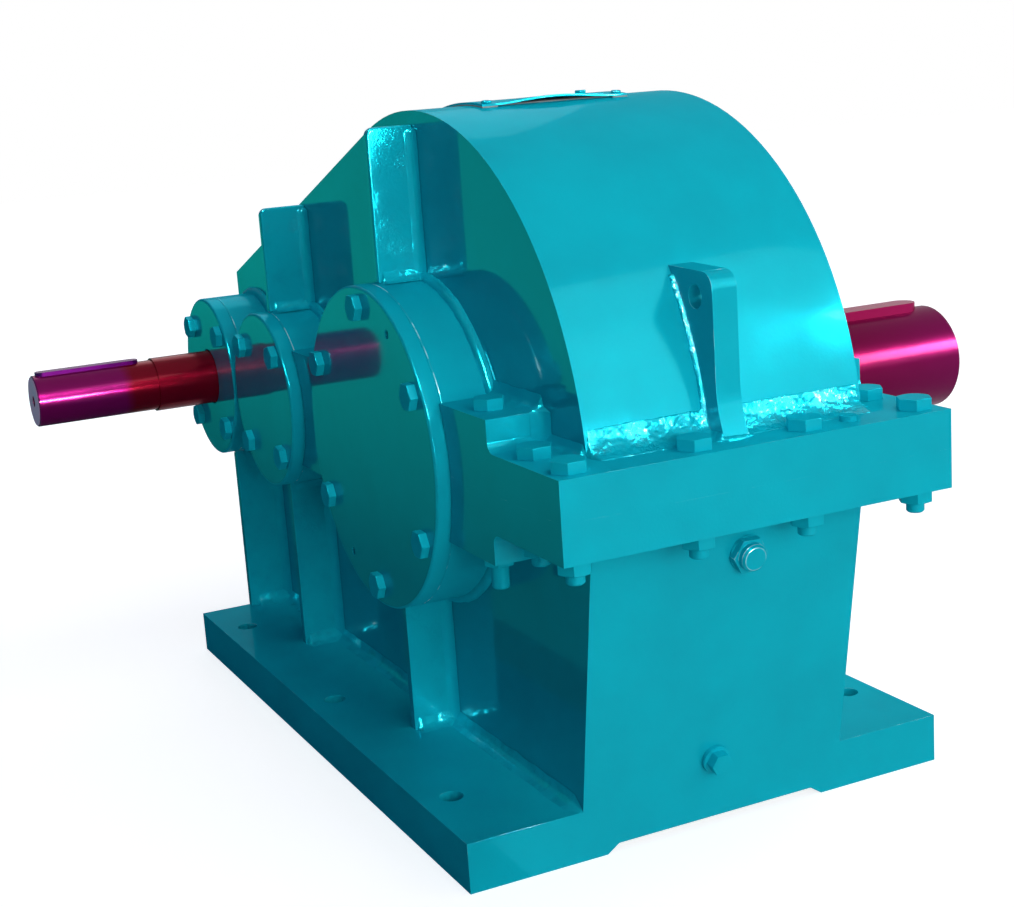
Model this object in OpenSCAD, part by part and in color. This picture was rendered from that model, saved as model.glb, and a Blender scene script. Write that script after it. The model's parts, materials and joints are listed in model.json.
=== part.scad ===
// Parallel-shaft helical gearbox with two reduction stages in a welded, horizontally
// split casing. The shafts lie along X, the casing runs along Y and Z is up.
// The origin is the centre of the foundation bolt pattern on the underside.

/* [Gear stages] */
// Centre distance of the output stage
low_cd = 400; // [300:1:520]
// Centre distance of the input stage
high_cd = 250; // [190:1:330]
// Normal module of the output stage
low_module = 8; // [5:0.5:10]
// Teeth on the output stage pinion
low_pinion_z = 20; // [16:1:26]
// Teeth on the output stage wheel
low_wheel_z = 78; // [60:1:90]
// Face width of the output wheel
low_face = 120; // [80:1:140]
// Normal module of the input stage
high_module = 5; // [3:0.5:7]
// Teeth on the input stage pinion
high_pinion_z = 22; // [16:1:28]
// Teeth on the input stage wheel
high_wheel_z = 76; // [60:1:90]
// Face width of the input wheel
high_face = 80; // [50:1:100]
// Play between the flanks of two meshing teeth
backlash = 0.8; // [0.3:0.1:1.2]

/* [Casing] */
// Height of the shaft axes above the floor
axis_z = 422; // [360:1:500]
// Position of the output axis from the centre of the foundation bolts
out_y = -158; // [-200:1:-100]
// Width of the casing over its side plates
casing_w = 344; // [300:2:400]
// Thickness of the side plates
side_t = 20; // [12:1:26]
// Thickness of the end plates
end_t = 16; // [10:1:20]
// Thickness of the rolled top plate
crown_t = 14; // [8:1:20]
// Outer radius of the top plate about the output axis
crown_r = 391; // [370:1:430]
// Slope of the straight part of the top plate, in degrees
crown_slope = 20.3; // [12:0.1:30]
// Distance from the input axis to the outside of the upper end wall
upper_end = 90; // [75:1:120]

/* [Split flange] */
// Width of the split flange
flange_w = 480; // [440:2:520]
// Thickness of each half of the flange
flange_t = 44; // [30:1:60]
// How far the near end of the flange stands out in front of the top plate
flange_lip = 65; // [50:1:90]
// Distance from the input axis to the far end of the flange
flange_far = 148; // [135:1:180]
// Height of the bearing bolt bosses above the flange
boss_h = 35; // [20:1:50]
// Diameter of the flange bolts
flange_bolt_d = 20; // [16:2:24]

/* [Base] */
// Width of the base plate
base_w = 625; // [560:1:700]
// Distance from the bolt pattern centre to the near end of the base
base_near = 492; // [450:1:540]
// Distance from the bolt pattern centre to the far end of the base
base_far = 477; // [450:1:540]
// Thickness of the base plate with its foot pads
base_t = 58; // [40:1:70]
// Height of the relief between the foot pads
relief_h = 10; // [4:1:16]
// Distance from the foundation holes to the side of the base
foot_edge = 37.5; // [30:0.5:60]
// Spacing of the foundation holes along the base
foot_dy = 370; // [330:1:410]
// Diameter of the foundation holes
foot_d = 28; // [22:1:34]

/* [Bearing housings] */
// How far the housing faces stand back from the edge of the flange
ring_back = 4; // [2:1:10]
// Diameter of the output housings and covers
out_cover_d = 390; // [350:1:420]
// Diameter of the middle housings and covers
mid_cover_d = 243; // [220:1:260]
// Diameter of the input housings and covers
in_cover_d = 237; // [215:1:245]
// Thickness of the bearing covers
cover_t = 20; // [12:1:26]
// Thickness of the cover gaskets
gasket_t = 1; // [0.5:0.1:2]
// Distance from the screw circle to the rim of the output covers
out_edge = 25; // [18:1:30]
// Distance from the screw circle to the rim of the input covers
small_edge = 20.5; // [18:0.5:24]
// Diameter of the cover screws
cover_screw_d = 16; // [12:2:16]

/* [Bearings] */
// Bore of the output bearings
out_brg_d = 150; // [130:5:160]
// Outside diameter of the output bearings
out_brg_od = 270; // [250:5:290]
// Width of the output bearings
out_brg_b = 73; // [50:1:80]
// Bore of the middle bearings
mid_brg_d = 75; // [65:5:85]
// Outside diameter of the middle bearings
mid_brg_od = 160; // [140:5:170]
// Width of the middle bearings
mid_brg_b = 55; // [40:1:60]
// Bore of the input bearings
in_brg_d = 80; // [70:5:85]
// Outside diameter of the input bearings
in_brg_od = 140; // [130:5:160]
// Width of the input bearings
in_brg_b = 33; // [26:1:40]

/* [Shafts] */
// Diameter of the output shaft end
out_shaft_d = 140; // [120:1:145]
// Distance from the middle of the box to the output shaft end
out_shaft_end = 584; // [500:1:620]
// Length of the output shaft end
out_shaft_len = 254; // [200:1:280]
// Diameter of the input shaft end
in_shaft_d = 75; // [60:1:78]
// Distance from the middle of the box to the input shaft end
in_shaft_end = 524; // [440:1:560]
// Length of the input shaft end
in_shaft_len = 178; // [140:1:200]

/* [Clearances] */
// Radial clearance of seated bearings, spigots, seals and hubs
seat_gap = 0.02; // [0.01:0.01:0.1]
// Distance between surfaces that turn past each other
run_gap = 0.3; // [0.2:0.05:0.6]
// Gap round a ring or plate that is welded into a cut-out
weld_gap = 0.3; // [0.1:0.1:1]

/* [View] */
// Piece to build

/* [Hidden] */
$fn = 64;

paint = [0.02, 0.58, 0.66];
steel = [0.62, 0.64, 0.66];
crimson = [0.62, 0.03, 0.16];
brass = [0.70, 0.55, 0.25];
dark = [0.08, 0.08, 0.09];
paper = [0.45, 0.40, 0.30];

mid_y = out_y + low_cd;
in_y = mid_y + high_cd;
inside = casing_w / 2 - side_t;
ring_in = inside - 6;
ring_face = flange_w / 2 - ring_back;
out_pcd = out_cover_d - 2 * out_edge;
small_pcd = in_cover_d - 2 * small_edge;
shoulder = 6;
foot_dx = base_w - 2 * foot_edge;
relief_x = foot_dx / 2 - 131;
cover_face = ring_face + gasket_t + cover_t;
split_top = axis_z + flange_t;
split_bot = axis_z - flange_t;
flange_y0 = out_y - crown_r - flange_lip;
flange_y1 = in_y + flange_far;
wall_y = in_y + upper_end;
box_near = out_y - sqrt(crown_r * crown_r - flange_t * flange_t);
box_far = wall_y - 7;
wheel_x = 43;
high_x = -85;
hub_r = 125;
rim_r = 270;
bolt_r = flange_bolt_d / 2;
bolt_af = 1.5 * flange_bolt_d;
screw_r = cover_screw_d / 2;
screw_af = 1.5 * cover_screw_d;
crown_y0 = out_y - crown_r;
lug_x = -12;
cover_x = -2;
cover_y = 34;
pad_t = 1.5;
sheet_t = 2.5;
lug_t = 30;
lug_z = 641;
foot_z = 60;
foot_r = 135;
box_z = base_t - 1;
end_slope = (base_near + box_near) / (split_bot - box_z);

low_cos = low_module * (low_pinion_z + low_wheel_z) / (2 * low_cd);
high_cos = high_module * (high_pinion_z + high_wheel_z) / (2 * high_cd);
low_beta = acos(low_cos);
high_beta = acos(high_cos);

// x and y of the perimeter bolts and of the bearing bolts in the flange
bolt_x = flange_w / 2 - 27;
flange_bolt_at = [for (s = [-1, 1]) each [[s * bolt_x, flange_y0 + 29],
    [s * 68, flange_y0 + 29], [s * (bolt_x - 3), flange_y0 + 109],
    [s * bolt_x, flange_y1 - 20], [s * 68, flange_y1 - 20]]];
boss_bolt_at = [for (s = [-1, 1]) each [
    [s * (bolt_x - 3), out_y - out_cover_d / 2 - 50],
    [s * (bolt_x - 3), (out_y + out_cover_d / 2 + mid_y - mid_cover_d / 2) / 2]]];
dowel_at = [[125, flange_y0 + 29], [-125, flange_y1 - 20]];
// y, housing diameter and bore of each bearing axis
axes = [[out_y, out_cover_d, out_brg_od], [mid_y, mid_cover_d, mid_brg_od],
    [in_y, in_cover_d, in_brg_od]];

// Turns a shape so that its own Z lies along X and its own X along Y.
module along_x() rotate([90, 0, 90]) children();
module at_axis(y, x = 0) translate([x, y, axis_z]) children();
module rod(x0, x1, r) translate([x0, 0, 0]) along_x() cylinder(h = x1 - x0, r = r);
module tube(x0, x1, r_out, r_in) translate([x0, 0, 0]) along_x()
    linear_extrude(x1 - x0) difference() { circle(r_out); circle(r_in); }
// Puts a shape that points inward from the +X side on one side or the other.
module side(s) if (s > 0) children(); else mirror([1, 0, 0]) children();
module chamfered_rod(x0, x1, r, c) translate([x0, 0, 0]) along_x() rotate_extrude()
    polygon([[0, 0], [r - c, 0], [r, c], [r, x1 - x0 - c], [r - c, x1 - x0],
        [0, x1 - x0]]);
module hex(af, h) cylinder(h = h, r = af / sqrt(3), $fn = 6);
// A block from corner a to corner b.
module block(a, b) translate(a) cube(b - a);

// Gear teeth.
function inv(a) = tan(a) * 180 / PI - a;
// Half the angle of a tooth at radius r, for a gear with pitch radius rp.
function half_angle(r, rp, z, at) = 90 / z - backlash * 45 / (PI * rp) + inv(at)
    - inv(acos(min(1, rp * cos(at) / r)));
function tooth_points(z, rp, m, at) = let (rf = rp - 1.25 * m, ra = rp + m,
    rb = max(rf, rp * cos(at))) [for (i = [0 : z - 1]) let (c = 360 * i / z)
    each [for (p = [[rf, -half_angle(rb, rp, z, at)],
        [rp, -half_angle(rp, rp, z, at)], [ra, -half_angle(ra, rp, z, at)],
        [ra, half_angle(ra, rp, z, at)], [rp, half_angle(rp, rp, z, at)],
        [rf, half_angle(rb, rp, z, at)]])
        [p[0] * cos(c + p[1]), p[0] * sin(c + p[1])]]];
// Helical teeth about the X axis, centred on x; hand is +1 or -1.
module teeth(z, m, cosb, beta, x, w, hand, slices, phase = 0) {
    rp = m * z / (2 * cosb);
    at = atan(tan(20) / cosb);
    turn = hand * w * tan(beta) / rp * 180 / PI;
    translate([x - w / 2, 0, 0]) along_x() rotate([0, 0, phase + turn / 2])
        linear_extrude(height = w, twist = turn, slices = slices)
            polygon(tooth_points(z, rp, m, at));
}

// Casing.
// Outline of the upper half about the output axis, moved in by t: an arc that runs
// on in a slope. What lies outside the arc is cut away.
module crown_outline(t, end) {
    r = crown_r - t;
    u = wall_y - out_y - end;
    peak = r / cos(crown_slope);
    difference() {
        polygon([[-r - 1, 0], [-r - 1, peak], [0, peak],
            [u, peak - u * tan(crown_slope)], [u, 0]]);
        difference() {
            polygon([[0, 0], [0, -1], [-r - 2, -1], [-r - 2, 2 * peak],
                2 * r * [sin(crown_slope), cos(crown_slope)]]);
            circle(r);
        }
    }
}
module lower_outline(t) polygon([[-base_near + t, box_z], [base_far - t, box_z],
    [box_far - t, split_bot], [box_far - t, axis_z + 1], [box_near + t, axis_z + 1],
    [box_near + t, split_bot]]);
// Bearing housings between z0 and z1: a spigot fills the hole in the side plate and a
// shoulder rests on the outside of the plate.
module housings(z0, z1) color(paint) difference() {
    intersection() {
        for (a = axes, s = [-1, 1]) at_axis(a[0]) side(s) {
            rod(ring_in, casing_w / 2, a[1] / 2 - shoulder);
            rod(casing_w / 2, ring_face, a[1] / 2);
        }
        block([-flange_w, -flange_w * 2, z0], [flange_w, flange_w * 2, z1]);
    }
    housing_cuts();
    flange_holes(z0, z1);
}
// The holes in side plates and flange that the housings are welded into.
module housing_seats() for (a = axes, s = [-1, 1]) at_axis(a[0]) side(s) {
    rod(ring_in - 1, casing_w / 2 + 1, a[1] / 2 - shoulder + weld_gap);
    rod(casing_w / 2, flange_w / 2 + 1, a[1] / 2 + weld_gap);
}
module housing_cuts() {
    for (a = axes) at_axis(a[0]) rod(-ring_face - 1, ring_face + 1, a[2] / 2);
    for (s = [-1, 1]) {
        at_axis(out_y) side(s) screw_holes(6, 30, out_pcd, screw_r);
        at_axis(mid_y) side(s) screw_holes(4, 45, small_pcd, screw_r);
        at_axis(in_y) side(s) screw_holes(4, 45, small_pcd, screw_r);
    }
}
module screw_holes(n, a0, pcd, r) for (i = [0 : n - 1])
    rotate([a0 + i * 360 / n, 0, 0]) translate([0, pcd / 2, 0])
        rod(ring_face - 30, ring_face + 1, r);
// Raised bosses for the long bolts beside the output bearing, dir is up or down.
module bosses(dir) for (s = [-1, 1]) {
    x0 = s > 0 ? casing_w / 2 : -flange_w / 2;
    x1 = s > 0 ? flange_w / 2 : -casing_w / 2;
    z = dir > 0 ? split_top - 1 : split_bot - boss_h;
    y0 = boss_bolt_at[0][1] - 53;
    block([x0, y0, z], [x1, out_y - out_cover_d / 2 + 60, z + boss_h + 1]);
    block([x0, out_y + out_cover_d / 2 - 40, z],
        [x1, mid_y - mid_cover_d / 2 + 40, z + boss_h + 1]);
    // concave foot of the boss on the flange
    translate([x0, y0 - 12, dir > 0 ? split_top - 1 : split_bot - 12]) difference() {
        cube([x1 - x0, 13, 13]);
        translate([-1, 0, dir > 0 ? 13 : 0]) rotate([0, 90, 0])
            cylinder(h = 200, r = 12);
    }
}
// Where the covers overhang the flange edge it is cut back to the housing face.
module cover_relief() for (a = axes, s = [-1, 1]) at_axis(a[0]) side(s)
    rod(ring_face, flange_w / 2 + 5, a[1] / 2 + 2);
module rib(y, z0, z1, x_out, r = 10) for (s = [-1, 1]) translate([0, y + 6, 0])
    rotate([90, 0, 0]) linear_extrude(12) scale([s, 1]) difference() {
        translate([casing_w / 2, z0]) square([x_out - casing_w / 2, z1 - z0]);
        if (r > 0) translate([x_out - r, z1 - r]) difference() {
            square(r + 1);
            circle(r);
        }
    }
module flange_holes(z0, z1) {
    for (p = flange_bolt_at) translate([p[0], p[1], z0])
        cylinder(h = z1 - z0, r = bolt_r + 1);
    for (p = boss_bolt_at) translate([p[0], p[1], z0])
        cylinder(h = z1 - z0, r = bolt_r + 1);
    for (p = dowel_at) translate([p[0], p[1], z0]) cylinder(h = z1 - z0, r = 8);
}

// Base plate with the lower side and end plates.
module lower_casing() color(paint) difference() {
    union() {
        // shallow relief between the foot pads
        rotate([90, 0, 0]) translate([0, 0, -base_far])
            linear_extrude(base_near + base_far) polygon([[-base_w / 2, 0],
                [-relief_x, 0], [15 - relief_x, relief_h],
                [relief_x - 15, relief_h], [relief_x, 0], [base_w / 2, 0],
                [base_w / 2, base_t], [-base_w / 2, base_t]]);
        along_x() linear_extrude(casing_w, center = true) intersection() {
            lower_outline(0);
            translate([-800, 0]) square([1600, split_bot]);
        }
    }
    along_x() linear_extrude(2 * inside, center = true) difference() {
        lower_outline(end_t);
        translate([-800, 0]) square([1600, base_t]);
    }
    housing_seats();
    for (s = [-1, 1], k = [-1, 0, 1]) translate([s * foot_dx / 2, k * foot_dy, -1])
        cylinder(h = base_t + 2, r = foot_d / 2);
    at_level() cylinder(h = 60, r = 12, center = true);
    at_drain() cylinder(h = 60, r = 10, center = true);
}
module lower_flange() color(paint) difference() {
    union() {
        block([-flange_w / 2, flange_y0, split_bot],
            [flange_w / 2, flange_y1, axis_z]);
        bosses(-1);
    }
    along_x() linear_extrude(2 * inside, center = true) lower_outline(end_t);
    housing_seats();
    cover_relief();
    flange_holes(split_bot - boss_h - 1, axis_z + 1);
}
module lower_housings() housings(0, axis_z);
// Stiffening plates between the base and the housings.
module lower_ribs() color(paint) difference() {
    union() {
        rib(out_y, base_t, axis_z - out_cover_d / 2 + 8, ring_face - 6, 0);
        rib(mid_y, base_t, axis_z - mid_cover_d / 2 + 8, ring_face - 6, 0);
        rib(base_far - 6, base_t, axis_z - in_cover_d / 2 + 12, ring_face + 1, 0);
    }
    housing_seats();
    cover_relief();
}
// The plugs stand square to the sloping end plate, pointing outward.
module on_end(x, z) translate([x, -base_near + (z - box_z) * end_slope, z])
    rotate([90 - atan(end_slope), 0, 0]) children();
module at_level() on_end(21, 328) children();
module at_drain() on_end(-4, 82) children();

// Eye plate from y0 at the casing to y1, with a foot that curves out by flare.
module lug(y0, y1, z1, flare, hole) rotate([90, 0, 90])
    translate([0, 0, lug_x - lug_t / 2]) linear_extrude(lug_t) difference() {
        union() {
            polygon([[y0, split_top], [y0, z1], [y1, z1 - 2], [y1, split_top]]);
            translate([min(y1, y1 + flare), split_top]) square([abs(flare), foot_z]);
        }
        translate([y1 + sign(flare) * foot_r, split_top + foot_z]) circle(foot_r);
        translate([y1, z1 - 2]) difference() {
            square(36, center = true);
            translate([-sign(flare) * 18, -18]) circle(18);
        }
        translate(hole) circle(13);
    }

// The solid inside the rolled top plate and its side plates, grown by g.
module crown_solid(g) at_axis(out_y) along_x()
    linear_extrude(casing_w + 2 * g, center = true) crown_outline(-g, -g);
module crown_hollow() at_axis(out_y) along_x()
    linear_extrude(2 * inside, center = true) union() {
        crown_outline(crown_t, end_t);
        translate([-crown_r + crown_t, -1])
            square([crown_r - crown_t + wall_y - out_y - end_t, 2]);
    }
// Rolled top plate with the upper side plates.
module upper_casing() color(paint) difference() {
    crown_solid(0);
    block([-300, -800, 0], [300, 800, split_top]);
    crown_hollow();
    housing_seats();
    hand_hole();
    inspection_at() cylinder(h = 40, r = 4, center = true);
}
module upper_flange() color(paint) difference() {
    union() {
        block([-flange_w / 2, flange_y0, axis_z],
            [flange_w / 2, flange_y1, split_top]);
        bosses(1);
    }
    crown_hollow();
    housing_seats();
    cover_relief();
    flange_holes(axis_z - 1, split_top + boss_h + 1);
}
module upper_housings() housings(axis_z, axis_z + out_cover_d);
module upper_ribs() color(paint) difference() {
    union() {
        rib(out_y, axis_z + out_cover_d / 2 - 8, axis_z + crown_r - 16, ring_face - 6);
        rib(mid_y, axis_z + mid_cover_d / 2 - 8, axis_z - 5 + crown_r / cos(crown_slope)
            - low_cd * tan(crown_slope), ring_face);
    }
    housing_seats();
}
module lifting_lugs() color(paint) difference() {
    union() {
        lug(crown_y0 + 69, crown_y0 - 17, lug_z, -14, [crown_y0 + 16, lug_z - 29]);
        lug(wall_y - 12, wall_y + 66, lug_z - 75, 10, [wall_y + 32, lug_z - 109]);
    }
    crown_solid(weld_gap);
}

// Inspection opening under a bent sheet that is sealed by a gasket.
module on_crown(x, y, up = 0) at_axis(out_y, cover_x)
    rotate([-asin((cover_y + y) / crown_r), 0, 0]) translate([x, 0, crown_r + up])
        children();
module inspection_at() for (s = [-1, 1], k = [-1, 1]) on_crown(s * 87, k * 70)
    children();
module sheet_at(r0, r1) at_axis(out_y, cover_x) intersection() {
    tube(-97, 97, r1, r0);
    translate([-98, cover_y - 80, crown_r - 60]) cube([196, 160, 120]);
}
module hand_hole() at_axis(out_y, cover_x)
    translate([-65, cover_y - 55, crown_r - 60]) cube([130, 110, 120]);
module inspection_gasket() color(paper) difference() {
    sheet_at(crown_r + seat_gap, crown_r + pad_t);
    hand_hole();
    // gap under the bowed front edge of the sheet
    at_axis(out_y, cover_x) translate([-77, cover_y - 81, crown_r - 60])
        cube([154, 11, 120]);
    inspection_at() cylinder(h = 40, r = 4.5, center = true);
}
module inspection_cover() color(paint) difference() {
    sheet_at(crown_r + pad_t, crown_r + pad_t + sheet_t);
    inspection_at() cylinder(h = 40, r = 4.5, center = true);
    vent_at() cylinder(h = 40, r = 4.2, center = true);
}
module inspection_screws() color(paint) inspection_at() {
    translate([0, 0, pad_t + sheet_t]) cylinder(h = 3, r = 6);
    translate([0, 0, 2 - crown_t]) cylinder(h = crown_t + pad_t + sheet_t - 1, r = 3.9);
}
module vent_at() on_crown(58, -34, pad_t + sheet_t) children();
module vent_plug() color(paint) vent_at() {
    hex(13, 4);
    translate([0, 0, -14]) cylinder(h = 15, r = 4);
}

// Joining hardware.
module bolt(af, r, head, len, tip = 2) {
    intersection() {
        hex(af, head);
        rotate_extrude() polygon([[0, -1], [af, -1], [af, head * 0.7],
            [af / 2 - 0.5, head + 0.01], [0, head + 0.01]]);
    }
    rotate_extrude() polygon([[0, 1], [r, 1], [r, -len + tip], [r - tip, -len],
        [0, -len]]);
}
module nut(af, r, h) difference() {
    intersection() {
        hex(af, h);
        rotate_extrude() polygon([[0, -1], [af, -1], [af, h * 0.7],
            [af / 2 - 0.5, h + 0.01], [0, h + 0.01]]);
    }
    translate([0, 0, -1]) cylinder(h = h + 2, r = r);
}
module flange_bolts() color(paint) for (p = flange_bolt_at)
    translate([p[0], p[1], split_top]) bolt(bolt_af, bolt_r, 13, 2 * flange_t + 28);
module flange_nuts() color(paint) for (p = flange_bolt_at)
    translate([p[0], p[1], split_bot]) mirror([0, 0, 1])
        nut(bolt_af, bolt_r + seat_gap, 16);
module boss_bolts() color(paint) for (p = boss_bolt_at)
    translate([p[0], p[1], split_top + boss_h])
        bolt(bolt_af, bolt_r, 13, 2 * (flange_t + boss_h) + 43);
module boss_nuts() color(paint) for (p = boss_bolt_at)
    translate([p[0], p[1], split_bot - boss_h]) mirror([0, 0, 1])
        nut(bolt_af, bolt_r + seat_gap, 16);
module dowel_pins() color(paint) for (p = dowel_at)
    translate([p[0], p[1], split_bot - 3]) {
        cylinder(h = 2 * flange_t + 6, r = 8 - seat_gap);
        translate([0, 0, 2 * flange_t + 3]) cylinder(h = 6, r = 9.5);
    }

// Bearing covers, all written for the +X side.
module cover_disc(d, od, spigot, n, a0, pcd) difference() {
    union() {
        translate([ring_face + gasket_t, 0, 0]) along_x() rotate_extrude()
            polygon([[0, 0], [d / 2, 0], [d / 2, cover_t - 2], [d / 2 - 2, cover_t],
                [0, cover_t]]);
        rod(ring_face - spigot, ring_face + gasket_t + 1, od / 2 - seat_gap);
    }
    for (i = [0 : n - 1]) rotate([a0 + i * 360 / n, 0, 0]) translate([0, pcd / 2, 0])
        rod(ring_face - 1, cover_face + 1, screw_r + 0.9);
}
module blind_cover(d, od, spigot, n, a0, pcd) difference() {
    cover_disc(d, od, spigot, n, a0, pcd);
    rod(ring_face - spigot - 1, ring_face + gasket_t, od / 2 - 14);
}
// The shaft hole is stepped for an oil seal pressed in from the bearing side.
module through_cover(d, od, spigot, n, a0, pcd, hole, seal) difference() {
    cover_disc(d, od, spigot, n, a0, pcd);
    rod(ring_face - spigot - 1, cover_face - 8, seal);
    rod(cover_face - 9, cover_face + 1, hole);
}
out_spigot = ring_face - 224;
small_spigot = ring_face - 221;
module cover_out_blind() color(paint) at_axis(out_y) side(-1) difference() {
    blind_cover(out_cover_d, out_brg_od, out_spigot, 6, 30, out_pcd);
    // tapped holes for pushing the cover off
    for (a = [120, 300]) rotate([a, 0, 0]) translate([0, out_pcd / 2, 0])
        rod(ring_face, cover_face + 1, 5);
}
module cover_out_through() color(paint) at_axis(out_y) difference() {
    through_cover(out_cover_d, out_brg_od, out_spigot, 6, 30, out_pcd,
        out_brg_d / 2 + 1, out_brg_d / 2 + 15);
    for (a = [120, 300]) rotate([a, 0, 0]) translate([0, out_pcd / 2, 0])
        rod(ring_face, cover_face + 1, 5);
}
module cover_mid_left() color(paint) at_axis(mid_y) side(-1)
    blind_cover(mid_cover_d, mid_brg_od, small_spigot, 4, 45, small_pcd);
module cover_mid_right() color(paint) at_axis(mid_y)
    blind_cover(mid_cover_d, mid_brg_od, small_spigot, 4, 45, small_pcd);
module cover_in_through() color(paint) at_axis(in_y) side(-1)
    through_cover(in_cover_d, in_brg_od, small_spigot, 4, 45, small_pcd,
        in_brg_d / 2 + 1, in_brg_d / 2 + 15);
module cover_in_blind() color(paint) at_axis(in_y)
    blind_cover(in_cover_d, in_brg_od, small_spigot, 4, 45, small_pcd);
module gasket(d, od, n, a0, pcd) for (s = [-1, 1]) side(s)
    translate([ring_face, 0, 0]) along_x() linear_extrude(gasket_t) difference() {
        circle(d / 2);
        circle(od / 2 + 1);
        for (i = [0 : n - 1]) rotate(a0 + i * 360 / n) translate([pcd / 2, 0])
            circle(screw_r + 0.9);
    }
module cover_gaskets() color(paper) {
    at_axis(out_y) gasket(out_cover_d, out_brg_od, 6, 30, out_pcd);
    at_axis(mid_y) gasket(mid_cover_d, mid_brg_od, 4, 45, small_pcd);
    at_axis(in_y) gasket(in_cover_d, in_brg_od, 4, 45, small_pcd);
}
module screws(n, a0, pcd) for (s = [-1, 1], i = [0 : n - 1]) side(s)
    rotate([a0 + i * 360 / n, 0, 0]) translate([cover_face, pcd / 2, 0])
        rotate([0, 90, 0]) bolt(screw_af, screw_r, 10, cover_t + gasket_t + 24);
module cover_screws() color(paint) {
    at_axis(out_y) screws(6, 30, out_pcd);
    at_axis(mid_y) screws(4, 45, small_pcd);
    at_axis(in_y) screws(4, 45, small_pcd);
}
module oil_seals() color(dark) {
    at_axis(out_y) seal(out_brg_d / 2, out_brg_d / 2 + 15, 15);
    at_axis(in_y) side(-1) seal(in_brg_d / 2, in_brg_d / 2 + 15, 12);
}
// Rotary shaft seal: outer case, thin flange and inner lip.
module seal(r_in, r_out, w) translate([cover_face - 8 - w, 0, 0]) along_x()
    rotate_extrude() polygon([[r_in + run_gap, w - 2], [r_in + run_gap, w - 5],
        [r_in + 4, w - 8], [r_in + 5, 2], [r_in + 8, 2], [r_in + 8, w - 4],
        [r_out - 3, w - 4], [r_out - 3, 0], [r_out - seat_gap, 0],
        [r_out - seat_gap, w], [r_in + 3, w]]);
module level_plug() color(paint) at_level() {
    translate([0, 0, 2]) hex(38, 8);
    translate([0, 0, 9]) rotate_extrude() polygon([[0, 0], [16, 0], [16, 7],
        [13, 10], [0, 10]]);
    translate([0, 0, -14]) cylinder(h = 17, r = 12 - seat_gap);
}
module drain_plug() color(paint) at_drain() {
    translate([0, 0, 2]) cylinder(h = 4, r = 17);
    translate([0, 0, 5]) hex(24, 13);
    translate([0, 0, -14]) cylinder(h = 17, r = 10 - seat_gap);
}
module washer(r_out, r_in) linear_extrude(2) difference() {
    circle(r_out);
    circle(r_in);
}
module seal_washers() color(brass) {
    at_level() washer(21, 12.5);
    at_drain() washer(16, 10.5);
}

// Cylindrical roller bearings.
// Bore, outside diameter, width, inner and outer raceway radius and roller count.
out_brg = [out_brg_d, out_brg_od, out_brg_b, 91, 119, 18];
mid_brg = [mid_brg_d, mid_brg_od, mid_brg_b, 48, 70, 13];
in_brg = [in_brg_d, in_brg_od, in_brg_b, 48, 62, 18];
brg_x = [224, 221, 221];
module outer_ring(b, x1) translate([x1 - b[2], 0, 0]) along_x() rotate_extrude()
    polygon([[b[1] / 2 - seat_gap, 0], [b[1] / 2 - seat_gap, b[2]],
        [b[4] - 3, b[2]], [b[4] - 3, b[2] - 6], [b[4], b[2] - 6], [b[4], 6],
        [b[4] - 3, 6], [b[4] - 3, 0]]);
module inner_ring(b, x1) translate([x1 - b[2], 0, 0]) along_x() rotate_extrude()
    polygon([[b[0] / 2, 0], [b[3] + 3, 0], [b[3] + 3, 6], [b[3], 6],
        [b[3], b[2]], [b[0] / 2, b[2]]]);
module roller_set(b, x1, extra = 0) for (i = [0 : b[5] - 1])
    rotate([i * 360 / b[5], 0, 0]) translate([0, (b[3] + b[4]) / 2, 0])
        rod(x1 - b[2] + 6 + run_gap - extra, x1 - 6 - run_gap + extra,
            (b[4] - b[3]) / 2 - run_gap + extra);
module cage(b, x1) difference() {
    tube(x1 - b[2] + 2, x1 - 2, (b[3] + b[4]) / 2 + 3, (b[3] + b[4]) / 2 - 3);
    roller_set(b, x1, 0.1);
}
module outer_rings_out() color(steel) at_axis(out_y) for (s = [-1, 1]) side(s)
    outer_ring(out_brg, brg_x[0]);
module outer_rings_mid() color(steel) at_axis(mid_y) for (s = [-1, 1]) side(s)
    outer_ring(mid_brg, brg_x[1]);
module outer_rings_in() color(steel) at_axis(in_y) for (s = [-1, 1]) side(s)
    outer_ring(in_brg, brg_x[2]);
module inner_rings_out() color(steel) at_axis(out_y) for (s = [-1, 1]) side(s)
    inner_ring(out_brg, brg_x[0]);
module inner_rings_mid() color(steel) at_axis(mid_y) for (s = [-1, 1]) side(s)
    inner_ring(mid_brg, brg_x[1]);
module inner_rings_in() color(steel) at_axis(in_y) for (s = [-1, 1]) side(s)
    inner_ring(in_brg, brg_x[2]);
module cage_out_left() color(brass) at_axis(out_y) side(-1) cage(out_brg, brg_x[0]);
module cage_out_right() color(brass) at_axis(out_y) cage(out_brg, brg_x[0]);
module cage_mid_left() color(brass) at_axis(mid_y) side(-1) cage(mid_brg, brg_x[1]);
module cage_mid_right() color(brass) at_axis(mid_y) cage(mid_brg, brg_x[1]);
module cage_in_left() color(brass) at_axis(in_y) side(-1) cage(in_brg, brg_x[2]);
module cage_in_right() color(brass) at_axis(in_y) cage(in_brg, brg_x[2]);
module rollers_out_left() color(steel) at_axis(out_y) side(-1)
    roller_set(out_brg, brg_x[0]);
module rollers_out_right() color(steel) at_axis(out_y) roller_set(out_brg, brg_x[0]);
module rollers_mid_left() color(steel) at_axis(mid_y) side(-1)
    roller_set(mid_brg, brg_x[1]);
module rollers_mid_right() color(steel) at_axis(mid_y) roller_set(mid_brg, brg_x[1]);
module rollers_in_left() color(steel) at_axis(in_y) side(-1)
    roller_set(in_brg, brg_x[2]);
module rollers_in_right() color(steel) at_axis(in_y) roller_set(in_brg, brg_x[2]);

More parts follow.
